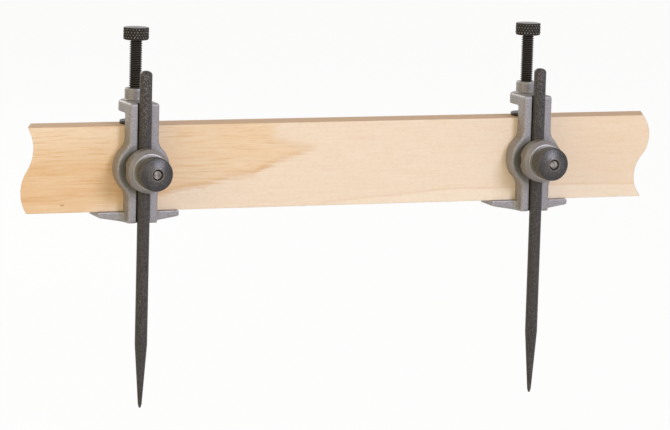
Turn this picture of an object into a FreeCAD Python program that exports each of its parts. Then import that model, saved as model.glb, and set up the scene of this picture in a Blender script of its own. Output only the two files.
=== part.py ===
import FreeCAD, Part
import math
import os

# Beam compass: two cast heads clamped on a wooden beam, each holding a pointed scriber rod.
# Millimetres. Origin on the beam's back face, at the middle of its height and halfway between the
# ends of its front face; +X along the beam, +Z up, so the side with the rods and knobs faces -Y.

# Beam
beam_length = 414.9
beam_height = 53.3
beam_thickness = 20.0
left_end_wave = 3.9
right_end_wave = 5.0
end_slant = 7.85
beam_edge_chamfer = 0.3

# Places of the two heads and of their rods
left_head_inset = 71.55
right_head_inset = 79.35
left_rod_rise = 35.2
right_rod_rise = 32.9

# Running clearances
face_clearance = 0.1
running_clearance = 0.05
loose_clearance = 0.3
overrun = 5.0
edge_tolerance = 0.01

# Scriber rod
rod_diameter = 7.75
rod_length = 210.0
rod_top_height = 2.6
rod_top_radius = 1.6
rod_taper_length = 40.0
rod_tip_radius = 1.2
rod_tip_length = 2.1
rod_point_radius = 0.55
rod_ring_depth = 0.12
rod_ring_width = 0.55

# Head casting: the grooved plate in front of the beam
head_width = 19.2
plate_wall = 7.5
rib_rise = 3.0
groove_side_gap = 0.4
groove_lip_round = 0.3
plate_foot = 6.2
front_round = 1.4
corner_extra_round = 0.3
boss_radius = 17.2
boss_rise = 27.55
boss_blend = 8.9

# Head casting: the arm over the beam and the boss for its screw
arm_gap = 7.9
arm_thickness = 7.0
arm_end_flare = 0.5
arm_root_round = 1.3
screw_boss_wall = 2.45
screw_boss_height = 7.3
screw_boss_blend = 0.9
screw_boss_round = 0.45

# Head casting: the jaw under the beam
jaw_reach = 26.2
jaw_tip_height = 3.45
jaw_tip_round = 1.1
jaw_front = 2.55
jaw_run_back = 16.7
jaw_root_blend = 4.45

# Clamp screw, five-sixteenths inch coarse thread
screw_diameter = 7.94
screw_pitch = 1.411
screw_thread_depth = 0.78
screw_free_height = 29.9
screw_neck_length = 0.9
screw_head_radius = 8.1
screw_head_height = 8.0
screw_head_chamfer = 0.9
screw_dog_radius = 2.6

# Pressure pad between the screw and the top of the beam
pad_front_gap = 0.55
pad_inset = 0.8
pad_thickness = 2.2
pad_edge_round = 0.45
pad_socket_depth = 1.3

# Draw bolt: flanged, slotted for the rod, with a quarter inch coarse thread at its front
bolt_cheek = 2.2
bolt_flange_rim = 3.1
bolt_flange_thickness = 3.3
bolt_bridge = 2.5
stud_diameter = 6.35
stud_pitch = 1.27
stud_thread_depth = 0.70
stud_recess = 1.0

# Clamp washer
washer_radius = 13.6
washer_cylinder = 7.65
washer_bevel_length = 3.2
washer_front_radius = 11.2
washer_back_round = 0.55
washer_seat_depth = 1.5
washer_level_seat_radius = 3.2
washer_level_seat_depth = 3.0
washer_room = 1.0

# Clamp knob
knob_radius = 10.5
knob_back_radius = 9.3
knob_flare_length = 5.0
knob_gap = 0.1
knob_length = 11.45
knob_rim_chamfer = 0.5
knob_dome_height = 1.9
knob_lip_radius = 4.1
knob_lip_height = 0.25
knob_mouth_radius = 3.45
knob_mouth_depth = 0.5

# Planes and axes worked out from the sizes above
beam_front = -beam_thickness
beam_top = beam_height / 2
beam_bottom = -beam_height / 2
rod_radius = rod_diameter / 2
groove_width = rod_diameter + 2 * groove_side_gap
plate_back = beam_front - face_clearance
groove_floor = plate_back - plate_wall
plate_front = groove_floor - rib_rise
rod_axis = groove_floor - running_clearance - rod_radius
head_half = head_width / 2
corner_round = front_round + corner_extra_round
arm_end_radius = head_half + arm_end_flare
pad_radius = arm_end_radius - pad_inset
screw_axis = plate_back + pad_front_gap + pad_radius
screw_radius = screw_diameter / 2
screw_root_radius = screw_radius - screw_thread_depth
screw_boss_radius = screw_radius + running_clearance + screw_boss_wall
plate_top = beam_top + arm_gap + arm_thickness
plate_bottom = beam_bottom - plate_foot
boss_level = beam_bottom + boss_rise
arm_under = beam_top + arm_gap
screw_boss_top = plate_top + screw_boss_height
bolt_shank_radius = rod_radius + running_clearance + bolt_cheek
bolt_flange_radius = bolt_shank_radius + bolt_flange_rim
washer_back = rod_axis - rod_radius + washer_seat_depth
washer_front = washer_back - washer_cylinder - washer_bevel_length
knob_back = washer_front - knob_gap
knob_front = knob_back - knob_length - knob_dome_height
bolt_slot_front = rod_axis - rod_radius - loose_clearance
bolt_shank_front = bolt_slot_front - bolt_bridge

# Angles in degrees, and the share of a round's radius that its middle lies inside the square corner
quarter_turn = 90
half_turn = 180
full_turn = 360
corner_share = 1 - math.sqrt(0.5)


def vec(x, y, z):
    return FreeCAD.Vector(x, y, z)


def line(start, end):
    return Part.makeLine(start, end)


def arc(start, middle, end):
    return Part.Arc(start, middle, end).toShape()


def solid_from(edges, along):
    """The prism of one closed outline, pushed along a vector."""
    wire = Part.Wire(Part.__sortEdges__(edges))
    return Part.Face(wire).extrude(along)


def chain(points):
    """Straight edges through a list of points."""
    return [line(a, b) for a, b in zip(points, points[1:])]


def turned(profile):
    """A solid of revolution about +Z from (radius, height) points; it starts and ends on the axis."""
    points = [vec(radius, 0, height) for radius, height in profile]
    wire = Part.makePolygon(points + points[:1])
    shape = Part.Face(wire).revolve(vec(0, 0, 0), vec(0, 0, 1), full_turn)
    return shape


def bar(radius, length, base, direction):
    return Part.makeCylinder(radius, length, base, direction)


def block(low, high):
    size = high - low
    return Part.makeBox(size.x, size.y, size.z, low)


def quarter_arc(centre_radius, centre_height, radius, start_deg, end_deg, steps):
    """Points (radius, height) along an arc, for rounding a turned profile."""
    angles = [math.radians(start_deg + (end_deg - start_deg) * i / steps) for i in range(steps + 1)]
    return [(centre_radius + radius * math.cos(a), centre_height + radius * math.sin(a)) for a in angles]


def thread_profile(crest_radius, depth, pitch, low, high):
    """Crests and roots of a thread as (radius, height) points, from the low end to the high end."""
    crest_share = 0.14
    turns = int((high - low) / pitch)
    points = []
    for turn in range(turns):
        base = low + turn * pitch
        points.append((crest_radius - depth, base))
        points.append((crest_radius, base + pitch / 2 - crest_share * pitch / 2))
        points.append((crest_radius, base + pitch / 2 + crest_share * pitch / 2))
    points.append((crest_radius - depth, low + turns * pitch))
    return points


def facing_front(shape, start_plane):
    """Turn a shape made about +Z so that its axis points along -Y, from a plane across Y."""
    placed = shape.copy()
    placed.rotate(vec(0, 0, 0), vec(1, 0, 0), quarter_turn)
    placed.translate(vec(0, start_plane, boss_level))
    return placed


def wave_edges(mean_x, wave, low, high, y):
    """An S-shaped break line: out towards +X in its upper half and back in its lower half."""
    middle = (low + high) / 2
    lower = arc(vec(mean_x, y, low), vec(mean_x - wave, y, (low + middle) / 2), vec(mean_x, y, middle))
    upper = arc(vec(mean_x, y, middle), vec(mean_x + wave, y, (middle + high) / 2), vec(mean_x, y, high))
    return [lower, upper]


def make_beam():
    """The board; both ends are cut along one S-shaped line, on the slant from front to back."""
    left = -beam_length / 2
    right = beam_length / 2
    edges = wave_edges(left, left_end_wave, beam_bottom, beam_top, beam_front)
    edges += wave_edges(right, right_end_wave, beam_bottom, beam_top, beam_front)
    edges.append(line(vec(left, beam_front, beam_top), vec(right, beam_front, beam_top)))
    edges.append(line(vec(left, beam_front, beam_bottom), vec(right, beam_front, beam_bottom)))
    board = solid_from(edges, vec(end_slant, beam_thickness, 0))
    long_edges = [edge for edge in board.Edges if edge.Length > beam_length / 2]
    return board.makeChamfer(beam_edge_chamfer, long_edges)


def plate_side_edges(side):
    """One side of the plate's outline, from its foot past the round boss to its top corner."""
    flank = side * head_half
    reach = boss_radius + boss_blend
    offset = head_half + boss_blend
    climb = math.sqrt(reach ** 2 - offset ** 2)
    touch_share = boss_radius / reach
    edges = []
    heights = []
    for direction in (-1, 1):
        centre = vec(side * offset, plate_front, boss_level + direction * climb)
        on_flank = vec(flank, plate_front, centre.z)
        on_boss = vec(side * offset * touch_share, plate_front, boss_level + direction * climb * touch_share)
        outward = (on_flank + on_boss) * 0.5 - centre
        outward.normalize()
        edges.append(arc(on_flank, centre + outward * boss_blend, on_boss))
        heights.append((on_flank, on_boss))
    (low_flank, low_boss), (high_flank, high_boss) = heights
    edges.append(arc(low_boss, vec(side * boss_radius, plate_front, boss_level), high_boss))
    edges.append(line(vec(flank, plate_front, plate_bottom), low_flank))
    edges.append(line(high_flank, vec(flank, plate_front, plate_top - corner_round)))
    middle = vec(flank - side * corner_round * corner_share, plate_front,
                 plate_top - corner_round * corner_share)
    top = vec(flank - side * corner_round, plate_front, plate_top)
    edges.append(arc(vec(flank, plate_front, plate_top - corner_round), middle, top))
    return edges


def make_plate():
    inner = head_half - corner_round
    edges = plate_side_edges(-1) + plate_side_edges(1)
    edges.append(line(vec(-inner, plate_front, plate_top), vec(inner, plate_front, plate_top)))
    edges.append(line(vec(-head_half, plate_front, plate_bottom), vec(head_half, plate_front, plate_bottom)))
    plate = solid_from(edges, vec(0, plate_back - plate_front, 0))
    front_edges = [edge for edge in plate.Edges
                   if edge.BoundBox.YMax < plate_front + edge_tolerance]
    return plate.makeFillet(front_round, front_edges)


def make_arm():
    """The arm over the beam: it flares a little to a round end about the screw's axis."""
    depth = screw_axis - plate_back
    distance = math.hypot(head_half, depth)
    run = math.sqrt(distance ** 2 - arm_end_radius ** 2)
    lean = math.atan2(arm_end_radius, run) - math.atan2(head_half, depth)
    touch_x = head_half + run * math.sin(lean)
    touch_y = plate_back + run * math.cos(lean)
    root = plate_back - plate_wall / 2
    outline = [
        line(vec(-head_half, root, arm_under), vec(-head_half, plate_back, arm_under)),
        line(vec(-head_half, plate_back, arm_under), vec(-touch_x, touch_y, arm_under)),
        arc(vec(-touch_x, touch_y, arm_under), vec(0, screw_axis + arm_end_radius, arm_under),
            vec(touch_x, touch_y, arm_under)),
        line(vec(touch_x, touch_y, arm_under), vec(head_half, plate_back, arm_under)),
        line(vec(head_half, plate_back, arm_under), vec(head_half, root, arm_under)),
        line(vec(head_half, root, arm_under), vec(-head_half, root, arm_under)),
    ]
    arm = solid_from(outline, vec(0, 0, arm_thickness))
    rounded = [edge for edge in arm.Edges
               if edge.BoundBox.ZMin > plate_top - edge_tolerance
               and edge.BoundBox.YMax > root + edge_tolerance]
    arm = arm.makeFillet(corner_round, rounded)
    return arm.fuse(make_arm_root())


def make_arm_root():
    """The hollow round that joins the arm's underside to the plate's back."""
    corner = vec(-head_half, plate_back - arm_root_round, arm_under + arm_root_round)
    low = vec(-head_half, plate_back, arm_under - arm_root_round)
    high = vec(-head_half, plate_back + arm_root_round, arm_under)
    middle = vec(-head_half, plate_back + arm_root_round * corner_share,
                 arm_under - arm_root_round * corner_share)
    back_low = vec(-head_half, corner.y, low.z)
    top_high = vec(-head_half, high.y, corner.z)
    edges = [arc(low, middle, high)] + chain([high, top_high, corner, back_low, low])
    return solid_from(edges, vec(head_width, 0, 0))


def make_screw_boss():
    steps = 6
    flare = quarter_arc(screw_boss_radius + screw_boss_blend, screw_boss_blend, screw_boss_blend,
                        half_turn + quarter_turn, half_turn, steps)
    shoulder = quarter_arc(screw_boss_radius - screw_boss_round, screw_boss_height - screw_boss_round,
                           screw_boss_round, 0, quarter_turn, steps)
    profile = [(0, -arm_thickness / 2), (screw_boss_radius, -arm_thickness / 2)]
    profile += [(screw_boss_radius + screw_boss_blend, -arm_thickness / 2)]
    profile += flare + shoulder + [(0, screw_boss_height)]
    boss = turned(profile)
    boss.translate(vec(0, screw_axis, plate_top))
    return boss


def make_jaw():
    """The jaw: a wing under the beam that thins towards its two ends."""
    front = beam_front - jaw_front
    edges = []
    slope = math.atan2(plate_foot - jaw_tip_height, jaw_reach - head_half)
    turn = quarter_turn - math.degrees(slope)
    tangent = jaw_tip_round * math.tan(math.radians(turn) / 2)
    for side in (-1, 1):
        tip = side * jaw_reach
        corner_z = beam_bottom - jaw_tip_height
        down = vec(tip, front, corner_z + tangent)
        along = vec(tip - side * tangent * math.cos(slope), front, corner_z - tangent * math.sin(slope))
        centre = vec(tip - side * jaw_tip_round, front, corner_z + tangent)
        outward = (down + along) * 0.5 - centre
        outward.normalize()
        edges.append(line(vec(tip, front, beam_bottom), down))
        edges.append(arc(down, centre + outward * jaw_tip_round, along))
        edges.append(line(along, vec(side * head_half, front, plate_bottom)))
    edges.append(line(vec(-jaw_reach, front, beam_bottom), vec(jaw_reach, front, beam_bottom)))
    edges.append(line(vec(-head_half, front, plate_bottom), vec(head_half, front, plate_bottom)))
    return solid_from(edges, vec(0, jaw_front + jaw_run_back, 0))


def make_jaw_blends(jaw):
    """The hollow rounds between the jaw's front face and the plate's two flanks."""
    front = beam_front - jaw_front
    blends = []
    for side in (-1, 1):
        flank = side * head_half
        far = vec(flank + side * jaw_root_blend, front, plate_bottom)
        near = vec(flank, front - jaw_root_blend, plate_bottom)
        middle = vec(flank + side * jaw_root_blend * corner_share,
                     front - jaw_root_blend * corner_share, plate_bottom)
        inside = vec(flank - side * corner_round, front - jaw_root_blend, plate_bottom)
        back = vec(flank - side * corner_round, front + jaw_front, plate_bottom)
        far_back = vec(far.x, back.y, plate_bottom)
        edges = [arc(near, middle, far)] + chain([far, far_back, back, inside, near])
        column = solid_from(edges, vec(0, 0, plate_foot))
        under = jaw.copy()
        under.translate(vec(0, -jaw_root_blend - jaw_front, 0))
        blends.append(column.common(under))
    return blends


def make_groove_cut():
    """The upright groove for the rod, with its two front lips rounded over."""
    half = groove_width / 2
    low = plate_bottom - overrun
    edges = []
    for side in (-1, 1):
        wall = side * half
        lip_wall = vec(wall, plate_front + groove_lip_round, low)
        lip_face = vec(wall + side * groove_lip_round, plate_front, low)
        middle = vec(wall + side * groove_lip_round * corner_share,
                     plate_front + groove_lip_round * corner_share, low)
        edges.append(arc(lip_wall, middle, lip_face))
        edges += chain([lip_wall, vec(wall, groove_floor, low)])
        edges += chain([lip_face, vec(lip_face.x, plate_front - overrun, low)])
    edges.append(line(vec(-half, groove_floor, low), vec(half, groove_floor, low)))
    edges.append(line(vec(-half - groove_lip_round, plate_front - overrun, low),
                      vec(half + groove_lip_round, plate_front - overrun, low)))
    return solid_from(edges, vec(0, 0, plate_top - plate_bottom + 2 * overrun))


def make_casting():
    jaw = make_jaw()
    body = make_plate()
    for piece in [make_arm(), make_screw_boss(), jaw] + make_jaw_blends(jaw):
        body = body.fuse(piece)
    body = body.removeSplitter()
    bolt_bore = bar(bolt_shank_radius + running_clearance, plate_back - plate_front + 2 * overrun,
                    vec(0, plate_back + overrun, boss_level), vec(0, -1, 0))
    flange_seat = bar(bolt_flange_radius + running_clearance, bolt_flange_thickness + overrun,
                      vec(0, plate_back + overrun, boss_level), vec(0, -1, 0))
    screw_bore = bar(screw_radius + running_clearance, screw_boss_top - arm_under + 2 * overrun,
                     vec(0, screw_axis, arm_under - overrun), vec(0, 0, 1))
    for tool in (make_groove_cut(), bolt_bore, flange_seat, screw_bore):
        body = body.cut(tool)
    return body


def make_scriber_rod(top):
    tip = top - rod_length
    taper_top = tip + rod_taper_length
    steps = 4
    crown = []
    for step in range(steps + 1):
        share = math.sin(math.pi / 2 * step / steps)
        crown.append((rod_radius - (rod_radius - rod_top_radius) * share ** 2,
                      top - rod_top_height + rod_top_height * share))
    profile = [(0, tip), (rod_point_radius, tip), (rod_tip_radius, tip + rod_tip_length)]
    profile += [(rod_radius, taper_top)]
    profile += [(rod_radius, taper_top + rod_ring_width)]
    profile += [(rod_radius - rod_ring_depth, taper_top + rod_ring_width)]
    profile += [(rod_radius - rod_ring_depth, taper_top + 2 * rod_ring_width)]
    profile += [(rod_radius, taper_top + 2 * rod_ring_width)]
    profile += crown + [(0, top)]
    rod = turned(profile)
    rod.translate(vec(0, rod_axis, 0))
    return rod


def make_clamp_screw():
    """The screw, upright on the pad: turned tip, thread, neck and round head."""
    foot = beam_top + pad_thickness - pad_socket_depth
    shoulder = beam_top + pad_thickness + loose_clearance
    head_base = screw_boss_top + screw_free_height
    profile = [(0, foot), (screw_dog_radius, foot), (screw_dog_radius, shoulder)]
    profile += thread_profile(screw_radius, screw_thread_depth, screw_pitch, shoulder,
                              head_base - screw_neck_length)
    profile += [(screw_root_radius, head_base), (screw_head_radius - screw_head_chamfer, head_base)]
    profile += [(screw_head_radius, head_base + screw_head_chamfer)]
    profile += [(screw_head_radius, head_base + screw_head_height - screw_head_chamfer)]
    profile += [(screw_head_radius - screw_head_chamfer, head_base + screw_head_height)]
    profile += [(0, head_base + screw_head_height)]
    screw = turned(profile)
    screw.translate(vec(0, screw_axis, 0))
    return screw


def make_pressure_pad():
    steps = 4
    rim = quarter_arc(pad_radius - pad_edge_round, pad_thickness - pad_edge_round, pad_edge_round,
                      0, quarter_turn, steps)
    socket_radius = screw_dog_radius + running_clearance
    floor = pad_thickness - pad_socket_depth
    profile = [(0, 0), (pad_radius, 0)] + rim
    profile += [(socket_radius, pad_thickness), (socket_radius, floor), (0, floor)]
    pad = turned(profile)
    pad.translate(vec(0, screw_axis, beam_top))
    return pad


def make_draw_bolt():
    """The bolt that pulls the washer home: flange behind the boss, slotted shank, threaded front."""
    flange_back = plate_back
    shank_end = flange_back - bolt_shank_front
    stud_end = flange_back - knob_front - stud_recess
    crest = stud_diameter / 2
    thread_start = shank_end + stud_pitch / 2
    thread = thread_profile(crest, stud_thread_depth, stud_pitch, thread_start, stud_end)
    root = crest - stud_thread_depth
    profile = [(0, 0), (bolt_flange_radius, 0), (bolt_flange_radius, bolt_flange_thickness)]
    profile += [(bolt_shank_radius, bolt_flange_thickness), (bolt_shank_radius, shank_end)]
    profile += [(root, shank_end)] + thread + [(root, stud_end), (0, stud_end)]
    bolt = facing_front(turned(profile), flange_back)
    half_slot = rod_radius + running_clearance
    slot = block(vec(-half_slot, bolt_slot_front, boss_level - bolt_flange_radius - overrun),
                 vec(half_slot, groove_floor, boss_level + bolt_flange_radius + overrun))
    return bolt.cut(slot)


def make_clamp_washer():
    """The washer that presses the rod home, with crossed seats for the rod on its back."""
    thickness = washer_cylinder + washer_bevel_length
    profile = [(0, 0), (washer_radius - washer_back_round, 0), (washer_radius, washer_back_round)]
    profile += [(washer_radius, washer_cylinder), (washer_front_radius, thickness), (0, thickness)]
    washer = facing_front(turned(profile), washer_back)
    seat_radius = rod_radius + running_clearance
    reach = washer_radius + overrun
    upright_seat = bar(seat_radius, 2 * reach, vec(0, rod_axis, boss_level - reach), vec(0, 0, 1))
    level_axis = washer_back + washer_level_seat_radius - washer_level_seat_depth
    level_seat = bar(washer_level_seat_radius, 2 * reach, vec(-reach, level_axis, boss_level),
                     vec(1, 0, 0))
    shank_room = bar(bolt_shank_radius + loose_clearance, washer_back - bolt_shank_front + washer_room,
                     vec(0, washer_back, boss_level), vec(0, -1, 0))
    stud_bore = bar(stud_diameter / 2 + running_clearance, thickness + 2 * overrun,
                    vec(0, washer_back + overrun, boss_level), vec(0, -1, 0))
    for tool in (upright_seat, level_seat, shank_room, stud_bore):
        washer = washer.cut(tool)
    return washer


def make_clamp_knob():
    """The round nut that draws the washer in: flared side, domed front, raised lip round its hole."""
    bore = stud_diameter / 2 + running_clearance
    rim = knob_radius - knob_rim_chamfer
    crown = knob_length + knob_dome_height
    profile = [(bore, 0), (knob_back_radius, 0), (knob_radius, knob_flare_length)]
    profile += [(knob_radius, knob_length - knob_rim_chamfer), (rim, knob_length)]
    steps = 5
    for step in range(1, steps + 1):
        share = step / steps
        profile.append((rim + (knob_lip_radius - rim) * share,
                        knob_length + knob_dome_height * math.sin(share * math.pi / 2)))
    profile += [(knob_lip_radius, crown + knob_lip_height), (knob_mouth_radius, crown + knob_lip_height)]
    profile += [(bore, crown + knob_lip_height - knob_mouth_depth)]
    return facing_front(turned(profile), knob_back)


def make_head(side_name, centre_x, rod_rise):
    """All the pieces of one head, by node name, moved to the head's place on the beam."""
    pieces = {
        "casting": make_casting(),
        "draw_bolt": make_draw_bolt(),
        "clamp_washer": make_clamp_washer(),
        "clamp_knob": make_clamp_knob(),
        "scriber_rod": make_scriber_rod(beam_top + rod_rise),
        "clamp_screw": make_clamp_screw(),
        "pressure_pad": make_pressure_pad(),
    }
    head = {}
    for name, shape in pieces.items():
        placed = shape.copy()
        placed.translate(vec(centre_x, 0, 0))
        head[side_name + "_" + name] = placed
    return head


def main():
    nodes = {"beam": make_beam()}
    nodes.update(make_head("left", -beam_length / 2 + left_head_inset, left_rod_rise))
    nodes.update(make_head("right", beam_length / 2 - right_head_inset, right_rod_rise))
    os.makedirs("parts", exist_ok=True)
    for name, shape in nodes.items():
        if not shape.isValid() or len(shape.Solids) != 1:
            raise ValueError(name + " is not one valid solid")
        shape.exportStep("parts/" + name + ".step")
        print(name, round(shape.Volume, 1), "mm3")


main()
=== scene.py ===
# %% [markdown]
# # Dressing a beam compass
# A beam compass scribes circles that are too wide for a pair of dividers. Two cast heads are
# clamped on a wooden board, and each holds a pointed steel rod. The exact solids come in as the
# frame. This lesson lays finished surfaces over them, one piece after another: wood, cast metal,
# blackened steel, a helical thread and two kinds of knurl.

# %% Load the frame
import bmesh
import bpy
import math
import numpy as np
from mathutils import Matrix, Vector


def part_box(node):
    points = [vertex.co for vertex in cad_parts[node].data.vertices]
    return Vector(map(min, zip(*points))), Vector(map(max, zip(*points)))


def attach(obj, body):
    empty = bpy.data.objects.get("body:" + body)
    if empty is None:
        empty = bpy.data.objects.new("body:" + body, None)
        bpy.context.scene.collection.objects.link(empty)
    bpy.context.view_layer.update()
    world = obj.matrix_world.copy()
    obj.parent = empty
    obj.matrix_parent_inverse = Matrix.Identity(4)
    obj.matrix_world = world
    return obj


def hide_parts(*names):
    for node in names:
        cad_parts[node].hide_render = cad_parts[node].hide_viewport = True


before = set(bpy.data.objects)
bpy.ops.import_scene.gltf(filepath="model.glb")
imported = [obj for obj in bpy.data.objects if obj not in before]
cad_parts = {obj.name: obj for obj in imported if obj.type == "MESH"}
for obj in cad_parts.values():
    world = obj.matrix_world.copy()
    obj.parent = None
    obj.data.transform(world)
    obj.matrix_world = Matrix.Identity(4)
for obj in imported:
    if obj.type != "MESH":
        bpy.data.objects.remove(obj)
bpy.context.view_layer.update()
MM = 0.001

# %% [markdown]
# ## The camera
# The picture was taken with a long lens from a little to the left and a little above, and the
# camera leans slightly. Three angles, a distance and the point aimed at say all of that. The
# camera's own axes are worked out from the angles, because that keeps the lean exact.

# %% Camera
VIEW_AZIMUTH = math.radians(-21.323)
VIEW_ELEVATION = math.radians(8.628)
VIEW_LEAN = math.radians(1.593)
VIEW_DISTANCE = 2351.53 * MM
VIEW_AIM = Vector((-5.010, -20.0, -32.957)) * MM
LENS, SENSOR = 200.36, 36

toward_camera = Vector((math.sin(VIEW_AZIMUTH) * math.cos(VIEW_ELEVATION),
                        -math.cos(VIEW_AZIMUTH) * math.cos(VIEW_ELEVATION),
                        math.sin(VIEW_ELEVATION)))
level = (-toward_camera).cross(Vector((0, 0, 1))).normalized()
upright = level.cross(-toward_camera)
across = math.cos(VIEW_LEAN) * level + math.sin(VIEW_LEAN) * upright
above = math.cos(VIEW_LEAN) * upright - math.sin(VIEW_LEAN) * level

camera = bpy.data.objects.new("camera", bpy.data.cameras.new("camera"))
camera.data.sensor_width = SENSOR
camera.data.lens = LENS
camera.data.clip_start, camera.data.clip_end = 0.05, 60
camera.matrix_world = Matrix.Translation(VIEW_AIM + toward_camera * VIEW_DISTANCE) @ Matrix(
    (across, above, toward_camera)).transposed().to_4x4()
bpy.context.scene.collection.objects.link(camera)
bpy.context.scene.camera = camera
bpy.context.scene.view_settings.view_transform = "Standard"
print("camera at", [round(v, 3) for v in camera.matrix_world.translation])

# %% [markdown]
# ## Writing node materials as sums
# A finish is a network of nodes, and drawing one by hand soon gets long. Here a `Wire` stands for
# one value on its way through the network. Adding or multiplying wires adds the Math nodes, so a
# pattern reads like a formula. Every other node comes from one method, `add`.

# %% Wires and networks
class Wire:
    """One output socket. Sums, differences, products, quotients and powers of wires are Math nodes."""

    def __init__(self, network, socket):
        self.network, self.socket = network, socket

    def math(self, operation, first, second):
        return self.network.add("ShaderNodeMath", {"operation": operation}, {0: first, 1: second})

    def __add__(self, other): return self.math("ADD", self, other)
    def __radd__(self, other): return self.math("ADD", other, self)
    def __sub__(self, other): return self.math("SUBTRACT", self, other)
    def __rsub__(self, other): return self.math("SUBTRACT", other, self)
    def __mul__(self, other): return self.math("MULTIPLY", self, other)
    def __rmul__(self, other): return self.math("MULTIPLY", other, self)
    def __truediv__(self, other): return self.math("DIVIDE", self, other)
    def __pow__(self, other): return self.math("POWER", self, other)


class Network:
    """The nodes of one material or of the world."""

    def __init__(self, tree):
        self.tree = tree
        tree.nodes.clear()

    def add(self, kind, settings=None, sockets=None, output=0):
        """A node of this kind. Its settings are set first, then its sockets get values or wires."""
        node = self.tree.nodes.new(kind)
        for name, value in (settings or {}).items():
            if name == "stops":
                set_stops(node.color_ramp, value)
            else:
                setattr(node, name, value)
        for name, value in (sockets or {}).items():
            if isinstance(value, Wire):
                self.tree.links.new(value.socket, node.inputs[name])
            else:
                node.inputs[name].default_value = value
        return Wire(self, node.outputs[output]) if len(node.outputs) else node


def set_stops(ramp, stops):
    """Colour stops as (place, colour) pairs in order; a new ramp already has its two ends."""
    ramp.elements[0].position, ramp.elements[0].color = stops[0]
    ramp.elements[-1].position, ramp.elements[-1].color = stops[-1]
    for place, colour in stops[1:-1]:
        ramp.elements.new(place).color = colour


print("wires and networks ready")

# %% [markdown]
# ## Words for patterns
# The finishes below need the same few things again and again: a colour as a paint chart gives it,
# a place in millimetres, a mark that a mesh keeps at its points, cloudy noise stretched along one
# direction, a soft step from 0 to 1, and a mix of two colours.

# %% Helpers for finishes
WHITE = (1.0, 1.0, 1.0, 1.0)


def chart(red, green, blue):
    """A chart colour, 0 to 255 each, as the plain light values that the shader wants."""
    parts = (value / 255 for value in (red, green, blue))
    return tuple(v / 12.92 if v <= 0.04045 else ((v + 0.055) / 1.055) ** 2.4 for v in parts) + (1.0,)


def finish_for(name):
    """A new material and its empty network."""
    material = bpy.data.materials.new(name)
    material.use_nodes = True
    return material, Network(material.node_tree)


def object_place(net):
    return net.add("ShaderNodeTexCoord", output="Object")


def in_mm(net, place, axis):
    """One coordinate of a place, in millimetres."""
    return net.add("ShaderNodeSeparateXYZ", None, {0: place}, output=axis) * (1 / MM)


def mark_of(net, key):
    """The value that the mesh keeps at its points under this name; 0 where it keeps none."""
    return net.add("ShaderNodeAttribute", {"attribute_name": key}, output="Fac")


def cloud(net, place, per_metre, detail=3.0, roughness=0.5):
    """Noise from 0 to 1 with so many lumps to the metre: one number, or one each for x, y and z."""
    scale = per_metre if isinstance(per_metre, tuple) else (per_metre,) * 3
    stretched = net.add("ShaderNodeMapping", None, {"Vector": place, "Scale": scale})
    return net.add("ShaderNodeTexNoise", None,
                   {"Vector": stretched, "Scale": 1.0, "Detail": detail, "Roughness": roughness})


def step(net, value, low, high):
    """0 below low, 1 above high, and an even S between them."""
    return net.add("ShaderNodeMapRange", {"interpolation_type": "SMOOTHSTEP"},
                   {"Value": value, "From Min": low, "From Max": high})


def mixed(net, share, first, second):
    """Two colours mixed; share 0 gives the first."""
    return net.add("ShaderNodeMix", {"data_type": "RGBA"}, {0: share, 6: first, 7: second}, output=2)


def surface(net, colour, roughness, height, depth, metallic=0.0, specular=0.5, tint=WHITE):
    """Ends a network: the shader, over a bump of this depth in millimetres."""
    bump = net.add("ShaderNodeBump", None, {"Height": height, "Distance": depth * MM})
    shader = net.add("ShaderNodeBsdfPrincipled", None,
                     {"Base Color": colour, "Roughness": roughness, "Metallic": metallic,
                      "Specular IOR Level": specular, "Specular Tint": tint, "Normal": bump})
    net.add("ShaderNodeOutputMaterial", None, {"Surface": shader})


print("white on the chart is", chart(255, 255, 255)[:3])

# %% [markdown]
# ## Room and light
# The object was lit by a soft lamp in front, a little to the right and not far above, so the
# heads throw a narrow shadow to the left. That lamp is cool. A weaker one stands near the camera,
# and a warm light comes from the left side. The room is warm too, and so is what the pale board
# throws back, which makes the shadows olive and brown. Together they are white. The room's own
# white shows only to the camera and in reflections, so it adds no light. The floor is pale and
# keeps a faint shadow. It lies far enough down that the rods can be lowered all the way.

# %% World and floor
ROOM_LIGHT = 0.34
ROOM_TINT = (1.0, 0.92, 0.60, 1.0)
FLOOR_WHITE, FLOOR_GREY = 0.95, (0.92, 0.92, 0.92, 1.0)
FLOOR_SIDE = 9.0
ROD_DROP, FLOOR_GAP = 44.0, 1.0


def shown_share(net):
    """1 for a ray that the camera, a reflection or a clear material sends, and 0 for lighting rays."""
    seen = [net.add("ShaderNodeLightPath", output=name)
            for name in ("Is Camera Ray", "Is Glossy Ray", "Is Transmission Ray")]
    return 1 - (1 - seen[0]) * (1 - seen[1]) * (1 - seen[2])


world = bpy.data.worlds.new("room")
world.use_nodes = True
bpy.context.scene.world = world
room = Network(world.node_tree)
room_shown = shown_share(room)
room_shader = room.add("ShaderNodeBackground", None,
                       {"Color": mixed(room, room_shown, ROOM_TINT, WHITE),
                        "Strength": ROOM_LIGHT + room_shown * (1 - ROOM_LIGHT)})
room.add("ShaderNodeOutputWorld", None, {"Surface": room_shader})

floor_material, floor_net = finish_for("floor_white")
floor_shown = shown_share(floor_net)
floor_paint = floor_net.add("ShaderNodeBsdfDiffuse", None, {"Color": FLOOR_GREY})
floor_glow = floor_net.add("ShaderNodeEmission", None, {"Color": WHITE, "Strength": 1.0})
floor_mix = floor_net.add("ShaderNodeMixShader", None,
                          {0: floor_shown * FLOOR_WHITE, 1: floor_paint, 2: floor_glow})
floor_net.add("ShaderNodeOutputMaterial", None, {"Surface": floor_mix})

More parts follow.
